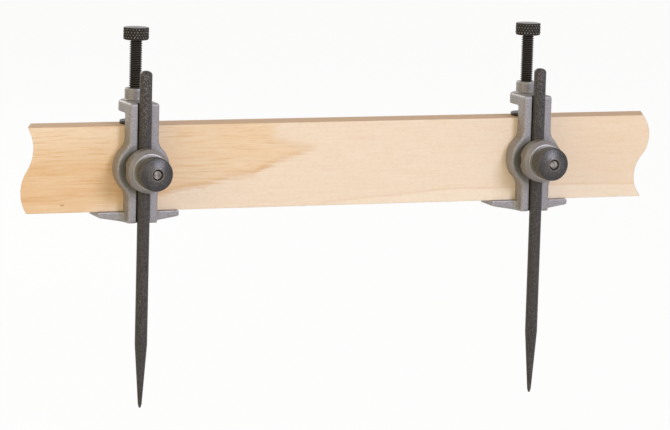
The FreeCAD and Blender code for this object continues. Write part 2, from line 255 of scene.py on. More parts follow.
lowest_point = min(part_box(name)[0].z for name in ("left_scriber_rod", "right_scriber_rod"))
floor_level = lowest_point - (ROD_DROP + FLOOR_GAP) * MM
floor_mesh = bpy.data.meshes.new("floor")
floor_mesh.from_pydata([(x * FLOOR_SIDE / 2, y * FLOOR_SIDE / 2, floor_level)
                        for x, y in ((-1, -1), (1, -1), (1, 1), (-1, 1))], [], [(0, 1, 2, 3)])
floor_mesh.materials.append(floor_material)
floor_object = bpy.data.objects.new("floor", floor_mesh)
bpy.context.scene.collection.objects.link(floor_object)
print("floor at", round(floor_level / MM, 2), "mm")

# %% Soft lamps
LAMPS = {  # azimuth and elevation in degrees, distance and size in metres, watts, colour
    "key": (20, 17, 3.0, 0.8, 48.0, (0.73, 0.79, 1.0)),
    "front": (-10, 12, 2.0, 0.8, 4.0, (1.0, 0.93, 0.82)),
    "side": (-62, 14, 1.9, 1.2, 8.8, (1.0, 0.90, 0.52)),
    "rear": (205, 28, 1.9, 1.0, 15.0, (1.0, 1.0, 1.0)),
}


def away(azimuth, elevation, distance):
    """A place this far off: azimuth 0 is straight in front, and more of it goes to the right."""
    turn, rise = math.radians(azimuth), math.radians(elevation)
    return Vector((distance * math.sin(turn) * math.cos(rise),
                   -distance * math.cos(turn) * math.cos(rise), distance * math.sin(rise)))


for name, (azimuth, elevation, distance, size, watts, tint) in LAMPS.items():
    lamp = bpy.data.lights.new(name, "AREA")
    lamp.shape, lamp.size, lamp.energy, lamp.color = "SQUARE", size, watts, tint
    holder = bpy.data.objects.new(name, lamp)
    holder.location = away(azimuth, elevation, distance)
    holder.rotation_mode = "QUATERNION"
    holder.rotation_quaternion = (-holder.location).to_track_quat("-Z", "Y")
    bpy.context.scene.collection.objects.link(holder)

# %% [markdown]
# ## Surfaces from grids of points
# A turned piece is a profile carried round an axis, and a board is an outline carried along a
# line. Both are a table of points: each row is one closed ring, and the rows follow each other.
# The whole table is worked out at once. The first and last ring shrink to a point, which closes
# the piece, or the last row joins the first, as in a nut with a hole through it.

# %% Grid to mesh
def grid_faces(rows, columns, start, through):
    """Corner numbers of the quads between neighbouring rings, and of the two closing fans."""
    if through:
        ring = start + np.arange(rows * columns).reshape(rows, columns)
        beyond, turned = np.roll(ring, -1, axis=0), np.roll(ring, -1, axis=1)
        quads = np.stack([ring, turned, np.roll(beyond, -1, axis=1), beyond], axis=-1)
        return quads.reshape(-1, 4).tolist()
    ring = start + 1 + np.arange((rows - 2) * columns).reshape(rows - 2, columns)
    turned = np.roll(ring, -1, axis=1)
    quads = np.stack([ring[:-1], turned[:-1], turned[1:], ring[1:]], axis=-1).reshape(-1, 4)
    last = start + (rows - 2) * columns + 1
    low = np.stack([np.full(columns, start), turned[0], ring[0]], axis=-1)
    high = np.stack([np.full(columns, last), ring[-1], turned[-1]], axis=-1)
    return quads.tolist() + low.tolist() + high.tolist()


def keep_mark(mesh, key, values):
    """Keeps one value at each point of a mesh, for a material to read."""
    mark = mesh.attributes.new(key, "FLOAT", "POINT")
    mark.data.foreach_set("value", np.asarray(values, np.float32))


def piece_from_grids(name, grids, marks=None, through=False, sharp=38):
    """One mesh from tables of points (row, column, xyz), sharp where faces meet at a wider angle."""
    points, faces, kept = [], [], {key: [] for key in (marks or {})}
    for number, grid in enumerate(grids):
        rows, columns = grid.shape[:2]
        faces += grid_faces(rows, columns, sum(len(p) for p in points), through)
        points.append(grid.reshape(-1, 3) if through else
                      np.vstack([grid[0, :1], grid[1:-1].reshape(-1, 3), grid[-1, :1]]))
        for key in kept:
            value = marks[key][number]
            kept[key].append(value.ravel() if through else
                             np.concatenate([value[0, :1], value[1:-1].ravel(), value[-1, :1]]))
    mesh = bpy.data.meshes.new(name)
    mesh.from_pydata(np.vstack(points).tolist(), [], faces)
    for key, values in kept.items():
        keep_mark(mesh, key, np.concatenate(values))
    mesh.polygons.foreach_set("use_smooth", np.ones(len(mesh.polygons), bool))
    mesh.set_sharp_from_angle(angle=math.radians(sharp))
    mesh.update()
    return mesh


def show(name, mesh, material, body, node):
    """Puts a finished mesh into the scene, on its body, in the place of the plain solid."""
    mesh.materials.clear()
    mesh.materials.append(material)
    piece = bpy.data.objects.new(name, mesh)
    bpy.context.scene.collection.objects.link(piece)
    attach(piece, body)
    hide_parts(node)


def around(columns):
    """Angles of the columns, once round, as a row."""
    return np.linspace(0, 2 * np.pi, columns, endpoint=False)[None, :]


def upright_ring(radius, height, angle, centre_x, centre_y):
    """Points at centre + radius (cos, sin) of the angle, at this height. All in millimetres."""
    radius, height, angle = np.broadcast_arrays(radius, height, angle)
    return np.stack([centre_x + radius * np.cos(angle), centre_y + radius * np.sin(angle), height],
                    axis=-1) * MM


def front_ring(radius, height, angle, centre_x, start_y, level_z):
    """The same ring laid over so that its axis points to the front: height runs along -Y."""
    radius, height, angle = np.broadcast_arrays(radius, height, angle)
    return np.stack([centre_x + radius * np.cos(angle), start_y - height,
                     level_z + radius * np.sin(angle)], axis=-1) * MM


print("grid helpers ready")

# %% [markdown]
# ## Where the heads are
# Both heads are the same, so each piece is worked out once and then moved along the board. The
# solids say where: the middle of each casting, the axis of each screw and of each rod.

# %% Places
def middle(node):
    low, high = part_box(node)
    return (low + high) / 2 / MM


SIDES = ("left", "right")
HEAD_X = {side: middle(side + "_casting").x for side in SIDES}
SCREW_Y = middle("left_clamp_screw").y
ROD_Y = middle("left_scriber_rod").y
KNOB_Z = middle("left_clamp_knob").z
print("heads at x", {side: round(HEAD_X[side], 2) for side in SIDES})
print("screws at y", round(SCREW_Y, 2), "rods at y", round(ROD_Y, 2), "knobs at z", round(KNOB_Z, 2))


def show_on(side, ending, mesh, material, body, node):
    """Shows a copy of a mesh made for the left head, moved along the board to the head named."""
    copy = mesh.copy()
    copy.transform(Matrix.Translation(((HEAD_X[side] - HEAD_X["left"]) * MM, 0, 0)))
    show(f"{side}_{ending}", copy, material, f"{side}_{body}", f"{side}_{node}")


# %% [markdown]
# ## The board
# The board is a strip of pale wood with eased edges. Each end is cut along one S-shaped line, on
# the slant. A box with rounded edges could be cut afterwards, but an outline carried along is
# simpler: every point of the outline starts on the left S and ends on the right S.

# %% Board outline
BOARD_LENGTH, BOARD_HEIGHT, BOARD_THICK = 414.9, 53.3, 20.0
BOARD_SLANT, BOARD_EASE, OUTLINE_STEP = 7.85, 0.6, 1.2
LEFT_WAVE, RIGHT_WAVE = 3.9, 5.0


def board_outline():
    """The closed outline (y, z) of the board's section: four straight sides, four quarter rounds."""
    half_z, half_y = BOARD_HEIGHT / 2 - BOARD_EASE, BOARD_THICK / 2 - BOARD_EASE
    corners = []
    for turn, (side_y, side_z) in enumerate([(1, 1), (-1, 1), (-1, -1), (1, -1)]):
        sweep = np.radians(90 * turn + np.linspace(0, 90, 6))
        corners.append(np.stack([side_y * half_y + BOARD_EASE * np.cos(sweep),
                                 side_z * half_z + BOARD_EASE * np.sin(sweep)], axis=-1))
    parts = []
    for number, corner in enumerate(corners):
        ahead = corners[(number + 1) % 4][0]
        gap = np.linalg.norm(ahead - corner[-1])
        share = np.linspace(0, 1, int(gap / OUTLINE_STEP) + 2)[1:-1, None]
        parts += [corner, corner[-1] + (ahead - corner[-1]) * share]
    outline = np.vstack(parts)
    outline[:, 0] -= BOARD_THICK / 2
    return outline


def s_line(height, wave):
    """How far the S stands out at a height: an arc to the right above the middle, left below it."""
    chord = BOARD_HEIGHT / 4
    radius = (chord ** 2 + wave ** 2) / (2 * wave)
    from_middle = np.abs(height) - chord
    rise = np.sqrt(np.maximum(radius ** 2 - from_middle ** 2, 0)) - (radius - wave)
    return np.sign(height) * rise


outline = board_outline()
print("outline points:", len(outline))

# %% Board surface
END_SHARES = (0.0, 0.25, 0.5, 0.75, 0.9, 0.97, 0.99, 0.9975)
BOARD_RINGS, END_RIM, FIRST_RING = 60, 0.0002, 0.0008


def board_grid(outline):
    """Rings of the board, from the middle of the left end, over its edge, along, and in again."""
    centre = np.array([-BOARD_THICK / 2, 0.0])
    inward = np.array(END_SHARES)
    rings = centre + (outline - centre) * inward[:, None, None]
    along = np.concatenate([[FIRST_RING], np.linspace(0.01, 0.99, BOARD_RINGS), [1 - FIRST_RING]])
    section = np.concatenate([rings, np.repeat(outline[None], len(along), 0), rings[::-1]])
    place = np.concatenate([np.zeros(len(inward)), along, np.ones(len(inward))])
    place[len(inward) - 1] = END_RIM
    place[-len(inward)] = 1 - END_RIM
    y, z = section[..., 0], section[..., 1]
    slant = BOARD_SLANT * (y + BOARD_THICK) / BOARD_THICK
    left = -BOARD_LENGTH / 2 + s_line(z, LEFT_WAVE) + slant
    right = BOARD_LENGTH / 2 + s_line(z, RIGHT_WAVE) + slant
    x = left + (right - left) * place[:, None]
    cut = np.zeros(len(place))
    cut[:len(inward)] = cut[-len(inward):] = 1.0
    return np.stack([x, y, z], axis=-1) * MM, np.broadcast_to(cut[:, None], x.shape)


board_points, board_cut = board_grid(outline)
board_mesh = piece_from_grids("board", [board_points], {"cut_end": [board_cut]})
print("board:", len(board_mesh.polygons), "faces")

# %% [markdown]
# ## Wood
# The wood is a pale one with quiet figure. One growth line runs low along the left part, climbs
# behind the left head and ends in a point, as where a saw cuts across a bulge in the rings. The
# wood above that line is warmer and has fine orange streaks; under it and to the right the wood
# is pale and speckled. A second line runs along the lower edge on the right, with paler wood
# under it. The top edge is painted darker and browner, as shade on a face that gets little light
# from above, and a small knot sits low on the left.

# %% Lines in the wood
GROWTH_LINE = ((-216, -19.2), (-192, -18.2), (-180, -16.1), (-159, -14.2), (-141, -15.6),
               (-122, -16.7), (-113, -14.1), (-95, -12.0), (-76, -7.0), (-60, -5.0), (-52, -0.5),
               (-45, 2.5), (-31, 7.0), (-19, 10.6), (-8, 20.0), (0, 30.0), (216, 30.0))
UPPER_LINE = ((-216, 30.0), (-49, 30.0), (-46, 20.1), (-43, 15.6), (-33, 12.5), (-19, 10.6),
              (216, 10.6))
LOWER_LINE = ((-216, -30.0), (-22, -27.0), (-9, -23.9), (39, -20.7), (68, -18.3), (115, -18.3),
              (143, -17.0), (216, -18.4))
LINE_REACH, LINE_RISE = 216.0, 30.0
SLOW_BEND, QUICK_BEND = 5.0, 2.2


def line_height(net, x, points):
    """The height in millimetres of a line through (x, height) points, read from a ramp of greys."""
    greys = [(height + LINE_RISE) / (2 * LINE_RISE) for _, height in points]
    stops = [((along + LINE_REACH) / (2 * LINE_REACH), (grey, grey, grey, 1.0))
             for (along, _), grey in zip(points, greys)]
    ramp = net.add("ShaderNodeValToRGB", {"stops": stops},
                   {"Fac": (x + LINE_REACH) / (2 * LINE_REACH)})
    return ramp * (2 * LINE_RISE) - LINE_RISE


def near(net, distance, inner, outer):
    """1 within the inner distance of a line on either side of it, and 0 beyond the outer one."""
    size = net.add("ShaderNodeMath", {"operation": "ABSOLUTE"}, {0: distance})
    return 1 - step(net, size, inner, outer)


def wood_places(net):
    """The place, one that wanders along the grain, and x, z and a gently bent z in millimetres."""
    place = object_place(net)
    x, y, z = [in_mm(net, place, axis) for axis in "XYZ"]
    slow, quick = cloud(net, place, (9, 12, 16), 1.0), cloud(net, place, (45, 40, 80), 2.0)
    bend = (slow - 0.5) * SLOW_BEND + (quick - 0.5) * QUICK_BEND
    bent = net.add("ShaderNodeCombineXYZ", None, {"X": x * MM, "Y": y * MM, "Z": (z + bend) * MM})
    return place, bent, x, z, z + bend * 0.5


# %% Wood finish
WOOD_WARM, WOOD_TAN, WOOD_PALE = chart(230, 193, 152), chart(234, 205, 172), chart(237, 216, 195)
WOOD_DEEP, WOOD_STREAK, WOOD_LIGHT = chart(222, 178, 130), chart(208, 156, 100), chart(242, 224, 204)
WOOD_DARK, WOOD_TOP, KNOT_BROWN = chart(190, 142, 98), chart(208, 173, 146), chart(168, 104, 56)
WOOD_UPPER = chart(238, 213, 184)
LEFT_END, LEFT_LOW, LEFT_PART = (-175.0, -75.0), (-135.0, -100.0), (-128.0, -104.0)
PALE_START, RIGHT_END, LOWER_START = (-140.0, -110.0), (95.0, 150.0), (-30.0, 20.0)
GROWTH_END, LOWER_SHOWN, UPPER_MIDDLE = (-34.0, -14.0), (-25.0, 10.0), -34.0
LOW_PART, UPPER_PART, PATCH_TOP = (-10.0, 3.0), (5.0, 25.0), (-25.0, -20.0)
PATCH_MIDDLE, BAND_LEVEL = -148.0, -1.0
KNOT_PLACE, KNOT_HALF = (-184.7, -21.8), (1.9, 1.0)
TOP_SHADE_BAND = (BOARD_HEIGHT / 2 - 0.45, BOARD_HEIGHT / 2 - 0.1)


def make_wood():
    material, net = finish_for("pale_wood")
    place, bent, x, z, level = wood_places(net)
    band = cloud(net, bent, (10, 60, 110), 3.0, 0.55)
    streak = cloud(net, bent, (34, 400, 680), 4.0, 0.62)
    fibre = cloud(net, bent, (120, 1100, 1500), 3.0, 0.65)
    speck = cloud(net, place, (520, 520, 700), 3.0, 0.7)
    feather = (streak - 0.5) * 6 + (fibre - 0.5) * 5
    over_growth = level - line_height(net, x, GROWTH_LINE)
    over_upper = level - line_height(net, x + (band - 0.5) * 14 + feather * 3, UPPER_LINE)
    over_lower = level - line_height(net, x, LOWER_LINE)
    heart = step(net, over_growth + feather, -1.4, 2.2) * (1 - step(net, over_upper, -7.0, 5.0))
    left_end = 1 - step(net, x, *LEFT_END)
    left_low = (1 - step(net, x, *LEFT_LOW)) * (1 - step(net, level + feather, *LOW_PART))
    pale = (1 - heart) * step(net, x, *PALE_START)
    colour = mixed(net, left_end * 0.5 + (band - 0.45) * 1.4, WOOD_TAN, WOOD_WARM)
    colour = mixed(net, left_low * (0.15 + band * 0.5), colour, WOOD_DEEP)
    colour = mixed(net, pale * (0.92 - step(net, x, *RIGHT_END) * (0.1 + band * 0.5)),
                   colour, WOOD_PALE)
    left_part = 1 - step(net, x, *LEFT_PART)
    colour = mixed(net, left_part * step(net, level + feather, *UPPER_PART) * 0.8, colour, WOOD_UPPER)
    deep_band = near(net, level - BAND_LEVEL + feather * 1.2, 2.0, 8.0)
    colour = mixed(net, left_part * deep_band * (0.25 + band * 0.6), colour, WOOD_DEEP)
    patch = near(net, x - PATCH_MIDDLE, 10.0, 30.0) * (1 - step(net, level, *PATCH_TOP))
    under = (1 - step(net, over_lower, -0.9, 0.6)) * step(net, x, *LOWER_START)
    colour = mixed(net, patch * 0.5 + under * 0.6, colour, WOOD_LIGHT)
    colour = mixed(net, step(net, streak, 0.50, 0.68) * (0.10 + heart * 0.26 + left_end * 0.12),
                   colour, WOOD_STREAK)
    colour = mixed(net, step(net, 1 - streak, 0.50, 0.72) * 0.3, colour, WOOD_LIGHT)
    on_growth = (near(net, over_growth + feather * 1.1 - 0.2, 0.1, 3.4)
                 * (1 - step(net, x, *GROWTH_END)))
    on_upper = near(net, over_upper + 0.6, 0.3, 4.0) * near(net, x - UPPER_MIDDLE, 8.0, 17.0)
    on_lower = near(net, over_lower, 0.1, 1.3) * step(net, x, *LOWER_SHOWN)
    lines = on_growth * (0.12 + step(net, band + streak * 0.5, 0.55, 0.95) * 0.5)
    colour = mixed(net, lines + on_upper * 0.14 + on_lower * 0.16, colour, WOOD_STREAK)
    colour = mixed(net, (fibre - 0.45) * (0.35 + heart * 0.45), colour, WOOD_STREAK)
    colour = mixed(net, (speck - 0.5) * (0.3 + 0.25 * pale), colour, WOOD_DARK)
    from_x, from_z = [(value - centre) / half for value, centre, half in
                      zip((x, z), KNOT_PLACE, KNOT_HALF)]
    knot = 1 - step(net, from_x * from_x + from_z * from_z, 0.1, 1.0)
    colour = mixed(net, knot * 0.45, colour, KNOT_BROWN)
    # painted shade: the top edge is darkened and browned as a face that gets little light from above
    top_shade = step(net, z, *TOP_SHADE_BAND)
    colour = mixed(net, top_shade * (0.75 + streak * 0.2), colour, WOOD_TOP)
    cut = mark_of(net, "cut_end")
    end_rings = cloud(net, place, (40, 260, 420))
    colour = mixed(net, cut * (0.35 + end_rings * 0.4), colour, WOOD_DARK)
    surface(net, colour, 0.64 - fibre * 0.08, streak * 0.3 + fibre * 0.7, 0.04, specular=0.2)
    return material


wood = make_wood()
show("beam_board", board_mesh, wood, "beam", "beam")
print("wood finish:", len(wood.node_tree.nodes), "nodes")

# %% [markdown]
# ## The two castings
# A die-cast head has no sharp edge anywhere. The solid has its main rounds, and the small ones
# come from remaking a copy of it out of very small cells and easing the result a little. The
# copy is made larger first, because cells this small are below what the tool expects. Each point
# of the new mesh then keeps how sharply it stands out, and the casting's points also keep whether
# they lie in the rod's groove and where the washer's painted shadow lies on the boss's face. The
# finish reads these marks.

# %% Remade castings
CAST_CELL, CAST_EASE = 0.40, 6
WASHER_CELL, WASHER_EASE = 0.22, 4


def remade(node, cell, ease, name):
    """A copy of a solid, merged, remade from cells of this size in millimetres, and eased."""
    shape = bmesh.new()
    shape.from_mesh(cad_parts[node].data)
    bmesh.ops.remove_doubles(shape, verts=shape.verts, dist=1e-6)
    bmesh.ops.scale(shape, verts=shape.verts, vec=(1 / MM,) * 3)
    mesh = bpy.data.meshes.new(name)
    shape.to_mesh(mesh)
    shape.free()
    helper = bpy.data.objects.new(name, mesh)
    bpy.context.scene.collection.objects.link(helper)
    cells = helper.modifiers.new("cells", "REMESH")
    cells.mode, cells.voxel_size, cells.use_smooth_shade = "VOXEL", cell, True
    soft = helper.modifiers.new("ease", "SMOOTH")
    soft.factor, soft.iterations = 0.5, ease
    eased = helper.evaluated_get(bpy.context.evaluated_depsgraph_get())
    result = bpy.data.meshes.new_from_object(eased)
    bpy.data.objects.remove(helper)
    result.transform(Matrix.Scale(MM, 4))
    result.name = name
    result.polygons.foreach_set("use_smooth", np.ones(len(result.polygons), bool))
    return result


# %% Marks on the castings
EDGE_SPREAD = 4
# the rod's groove, where painted shade goes
GROOVE_HALF, GROOVE_FRONT, GROOVE_BACK = 4.9, -30.1, -26.0
# the ring on the boss's face where the washer's painted shadow goes
RING_INNER, RING_OUTER, RING_FRONT = 15.2, 16.9, -30.2
RING_EVEN, RING_LEAN = 0.5, 0.8


def points_of(mesh):
    points = np.empty(len(mesh.vertices) * 3)
    mesh.vertices.foreach_get("co", points)
    return points.reshape(-1, 3)


def edge_mark(mesh, cell):
    """How far each point stands over the middle of its neighbours along its normal, in cells."""
    points, normals = points_of(mesh), np.empty(len(mesh.vertices) * 3)
    ends = np.empty(len(mesh.edges) * 2, int)
    mesh.vertex_normals.foreach_get("vector", normals)
    mesh.edges.foreach_get("vertices", ends)
    normals, ends = normals.reshape(-1, 3), ends.reshape(-1, 2)
    number = np.bincount(ends.ravel(), minlength=len(points))

    def neighbours(values):
        return (np.bincount(ends[:, 0], values[ends[:, 1]], len(points))
                + np.bincount(ends[:, 1], values[ends[:, 0]], len(points))) / number

    standing = sum((points[:, axis] - neighbours(points[:, axis])) * normals[:, axis]
                   for axis in range(3))
    for _ in range(EDGE_SPREAD):
        standing = (standing + neighbours(standing)) / 2
    return standing / (cell * MM)


def groove_shade_mark(mesh):
    """1 inside the rod's groove, where shade is painted: between its walls, from the plate's front to
    the groove's floor.
    """
    x, y, _ = points_of(mesh).T / MM
    return (np.abs(x - HEAD_X["left"]) < GROOVE_HALF) & (y > GROOVE_FRONT) & (y < GROOVE_BACK)


def painted_shadow_mark(mesh):
    """Painted shadow of the washer on the boss's front face: 1 inside its rim on the left, falling
    evenly to 0 on the right.
    """
    x, y, z = points_of(mesh).T / MM
    beside = x - HEAD_X["left"]
    from_axis = np.hypot(beside, z - KNOB_Z)
    rim = np.clip((RING_OUTER - from_axis) / (RING_OUTER - RING_INNER), 0, 1)
    return rim * (y < RING_FRONT) * np.clip(RING_EVEN - RING_LEAN * beside / from_axis, 0, 1)


casting_mesh = remade("left_casting", CAST_CELL, CAST_EASE, "casting")
washer_mesh = remade("left_clamp_washer", WASHER_CELL, WASHER_EASE, "washer")
for mesh, cell in ((casting_mesh, CAST_CELL), (washer_mesh, WASHER_CELL)):
    standing = edge_mark(mesh, cell)
    keep_mark(mesh, "edge", standing)
    spread = np.percentile(standing, [1, 10, 50, 90, 99])
    print(mesh.name, "edges stand out by", spread.round(3).tolist(), "cells")
for key, values in (("groove", groove_shade_mark(casting_mesh)), ("ring", painted_shadow_mark(casting_mesh))):
    keep_mark(casting_mesh, key, values)
    print("points in the", key + ":", int((values > 0).sum()))
print("casting:", 2 * len(casting_mesh.polygons), "triangles; washer:", 2 * len(washer_mesh.polygons))

# %% [markdown]
# ## Cast metal
# The castings are a dull warm grey, slightly mottled, with a skin like very fine orange peel.
# The washers are the same metal, a little browner on their sides; their bevels are painted a
# lighter lilac as lit from the front, and their turned fronts are painted brighter, partly their
# own colour and partly painted highlight. A partly metallic shader keeps the soft shading of a
# matt skin and still takes a sheen on the rounds. Edges that stand out are painted brighter,
# partly as wear and partly as painted highlight, and hollows are painted darker as shade. The
# rod's groove is painted dark as the shade in that narrow gap, and the boss's face to the left
# of the washer is painted olive as the washer's shadow. Marks that the mesh keeps at its points
# say where these are.

# %% Cast finish
CAST_DARK, CAST_BRIGHT = chart(106, 100, 88), chart(206, 202, 200)
GROOVE_PAINTED_SHADE, PAINTED_SHADOW_OLIVE, PAINTED_LIT_LILAC = chart(34, 30, 28), chart(86, 84, 70), chart(138, 130, 132)
WASHER_BEVEL, BEVEL_FADE, WASHER_TURNED, TURNED_FADE = 41.4, 0.8, 44.55, 0.15
CAST_METALLIC, CAST_ROUGHNESS = 0.25, 0.43


def make_cast(name, body_colour, patch_colour, worn, bevelled):
    """Cast metal: worn says how brightly edges are painted, partly as wear and partly as painted
    highlight; a bevelled piece has its bevel painted lighter lilac as lit from the front, and its
    turned front painted brighter, partly as painted highlight.
    """
    material, net = finish_for(name)
    place = object_place(net)
    patches = cloud(net, place, 70)
    skin = cloud(net, place, 850, 3.0, 0.65)
    grit = cloud(net, place, 2600, 1.0)
    edge = mark_of(net, "edge")
    # edges that stand out, painted brighter below: partly wear, partly painted highlight
    rubbed = step(net, edge + (skin - 0.5) * 0.05, 0.03, 0.09)
    # painted shade: hollows are darkened as the shade that falls in them
    hollow_shade = step(net, 0 - edge, 0.008, 0.05)
    colour = mixed(net, step(net, patches, 0.38, 0.66) * 0.6, body_colour, patch_colour)
    colour = mixed(net, step(net, skin, 0.46, 0.62) * 0.38 + (grit - 0.5) * 0.3, colour, CAST_DARK)
    colour = mixed(net, step(net, 1 - skin, 0.52, 0.66) * 0.16, colour, CAST_BRIGHT)
    colour = mixed(net, hollow_shade * 0.4, colour, CAST_DARK)
    colour = mixed(net, rubbed * worn, colour, CAST_BRIGHT)
    # painted shade: the rod's groove is darkened as the shadow in that narrow gap
    colour = mixed(net, mark_of(net, "groove") * 0.85, colour, GROOVE_PAINTED_SHADE)
    # painted shadow: the boss's face left of the washer is darkened olive as the washer's shadow
    colour = mixed(net, mark_of(net, "ring") * 0.62, colour, PAINTED_SHADOW_OLIVE)
    metal = CAST_METALLIC + rubbed * 0.1
    dull = CAST_ROUGHNESS + (skin - 0.5) * 0.2 - rubbed * 0.03
    if bevelled:
        front = in_mm(net, place, "Y") * -1
        # painted light: the bevel is painted a lighter lilac as lit by the lamp in front
        bevel = step(net, front, WASHER_BEVEL, WASHER_BEVEL + BEVEL_FADE)
        # the turned front: shinier for real, and painted brighter below, partly its own colour and
        # partly painted highlight
        turned = step(net, front, WASHER_TURNED, WASHER_TURNED + TURNED_FADE)
        colour = mixed(net, bevel * 0.7, colour, PAINTED_LIT_LILAC)
        colour = mixed(net, turned * 0.4, colour, CAST_BRIGHT)
        metal, dull = metal + turned * 0.15, dull - turned * 0.07
    surface(net, colour, dull, skin * 0.75 + grit * 0.25, 0.05, metallic=metal)
    return material


cast_metal = make_cast("cast_metal", chart(150, 144, 147), chart(141, 135, 135), 0.24, False)
washer_metal = make_cast("washer_metal", chart(130, 123, 117), chart(122, 115, 106), 0.0, True)
for side in SIDES:
    show_on(side, "casting_cast", casting_mesh, cast_metal, "head", "casting")
    show_on(side, "washer_cast", washer_mesh, washer_metal, "washer", "clamp_washer")
print("castings and washers shown")

# %% [markdown]
# ## The clamp screws
# Each screw has a real helical thread: the radius depends on the height less one pitch for each
# turn of the angle, so the ridge climbs as it goes round. The head is pressed with a diamond
# knurl, which is two sets of slanting grooves that cross and leave small pyramids.

# %% Screw sizes
SCREW_LOW, SCREW_HIGH = [corner.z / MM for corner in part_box("left_clamp_screw")]
SCREW_RADIUS, SCREW_PITCH, THREAD_DEPTH = 3.97, 1.411, 0.78
ROOT_SHARE, FLANK_SHARE = 0.16, 0.56
DOG_RADIUS, DOG_LENGTH, DOG_CHAMFER = 2.6, 1.6, 0.2
NECK_LENGTH, NECK_FLARE, HEAD_OVERLAP = 0.9, 0.55, 1.0
HEAD_RADIUS, HEAD_HEIGHT, HEAD_CHAMFER, LOW_CHAMFER, HEAD_DOME = 8.1, 8.0, 0.9, 0.63, 0.28
HEAD_LOW = SCREW_HIGH - HEAD_HEIGHT
KNURL_ROUND, KNURL_TALL, KNURL_DEPTH = 25, 3.3, 0.6
THREAD_COLUMNS, ROWS_PER_PITCH, KNURL_COLUMNS, KNURL_ROWS = 56, 15, 9, 46
# how brightly crests, knurl valleys and the head's top are painted: partly wear, partly painted
# highlight
CREST_WEAR_AND_HIGHLIGHT, VALLEY_WEAR_AND_HIGHLIGHT, TOP_WEAR_AND_HIGHLIGHT = 0.5, 0.12, 0.26
print("screw from", round(SCREW_LOW, 2), "to", round(SCREW_HIGH, 2), "mm")

# %% Screw thread
def thread_height(turns):
    """0 in the root and 1 on the crest: a triangle wave of the turns, cut off flat at both ends."""
    wave = 1 - np.abs(2 * (turns % 1.0) - 1)
    return np.clip((wave - ROOT_SHARE) / FLANK_SHARE, 0, 1)


def thread_grid():
    """Rings up the shank: root + depth x thread_height(height / pitch - angle / full turn)."""
    angle = around(THREAD_COLUMNS)
    foot, top = SCREW_LOW + DOG_LENGTH, HEAD_LOW + HEAD_OVERLAP
    height = np.linspace(foot, top, int((top - foot) / SCREW_PITCH * ROWS_PER_PITCH))[:, None]
    turns = (height - foot) / SCREW_PITCH - angle / (2 * np.pi)
    starting = np.clip((height - foot) / SCREW_PITCH, 0, 1)
    running_out = np.clip((HEAD_LOW - 0.5 * NECK_LENGTH - height) / (0.5 * SCREW_PITCH), 0, 1)
    root = SCREW_RADIUS - THREAD_DEPTH
    neck = NECK_FLARE * np.clip((height - HEAD_LOW + NECK_LENGTH) / NECK_LENGTH, 0, 1) ** 2
    ridge = thread_height(turns) * starting * running_out
    radius = root + THREAD_DEPTH * ridge + neck
    dog_radius = np.array([0.0, DOG_RADIUS - DOG_CHAMFER, DOG_RADIUS, DOG_RADIUS])[:, None]
    dog_height = SCREW_LOW + np.array([0.0, 0.0, DOG_CHAMFER, DOG_LENGTH])[:, None]
    low = upright_ring(dog_radius, dog_height, angle, HEAD_X["left"], SCREW_Y)
    shank = upright_ring(radius, height, angle, HEAD_X["left"], SCREW_Y)
    end = upright_ring(np.zeros((1, 1)), np.full((1, 1), top), angle, HEAD_X["left"], SCREW_Y)
    # crests painted brighter: partly wear, partly painted highlight
    rubbed = np.zeros((len(low) + len(shank) + 1, angle.shape[1]))
    rubbed[len(low):-1] = CREST_WEAR_AND_HIGHLIGHT * ridge
    return np.concatenate([low, shank, end]), rubbed


# %% Knurled head
def knurl_height(round_share, height):
    """Pyramids from 0 to 1 where two sets of grooves cross, one climbing right and one left."""
    climb = height / KNURL_TALL
    flanks = [1 - np.abs(2 * (value % 1.0) - 1)
              for value in (round_share + climb, round_share - climb)]
    return np.minimum(*flanks)


def head_grid():
    """Rings of the head: flat below, chamfer, knurled side, chamfer, and a top that domes slightly."""
    angle = around(KNURL_ROUND * KNURL_COLUMNS)
    flat = HEAD_RADIUS - HEAD_CHAMFER
    side_high = HEAD_HEIGHT - HEAD_CHAMFER
    sweep, inner = np.linspace(0, np.pi / 2, 8)[1:], np.linspace(flat, 0, 14)[1:]
    rise = np.concatenate([[0, 0], np.linspace(0, LOW_CHAMFER, 5)[1:-1],
                           np.linspace(LOW_CHAMFER, side_high, KNURL_ROWS),
                           side_high + (HEAD_CHAMFER - HEAD_DOME) * np.sin(sweep),
                           HEAD_HEIGHT - HEAD_DOME * (inner / flat) ** 2])[:, None]
    outer = np.concatenate([[0, flat], np.linspace(flat, HEAD_RADIUS, 5)[1:-1],
                            np.full(KNURL_ROWS, HEAD_RADIUS),
                            HEAD_RADIUS - HEAD_CHAMFER * (1 - np.cos(sweep)), inner])[:, None]
    pressed = KNURL_DEPTH * (1 - knurl_height(KNURL_ROUND * angle / (2 * np.pi), rise))
    on_top = outer < flat - 0.01
    radius = np.where(on_top, outer, np.minimum(outer, HEAD_RADIUS - pressed))
    # knurl tips painted brighter: partly wear, partly painted highlight
    tips = (1 - pressed / KNURL_DEPTH) ** 1.5
    rubbed = np.where(on_top, TOP_WEAR_AND_HIGHLIGHT, VALLEY_WEAR_AND_HIGHLIGHT + (1 - VALLEY_WEAR_AND_HIGHLIGHT) * tips)
    return upright_ring(radius, HEAD_LOW + rise, angle, HEAD_X["left"], SCREW_Y), rubbed


(thread_points, thread_wear_and_highlight), (head_points, head_wear_and_highlight) = thread_grid(), head_grid()
screw_mesh = piece_from_grids("screw", [thread_points, head_points],
                              {"rubbed": [thread_wear_and_highlight, head_wear_and_highlight]}, sharp=70)
print("screw:", 2 * len(screw_mesh.polygons), "triangles at most")

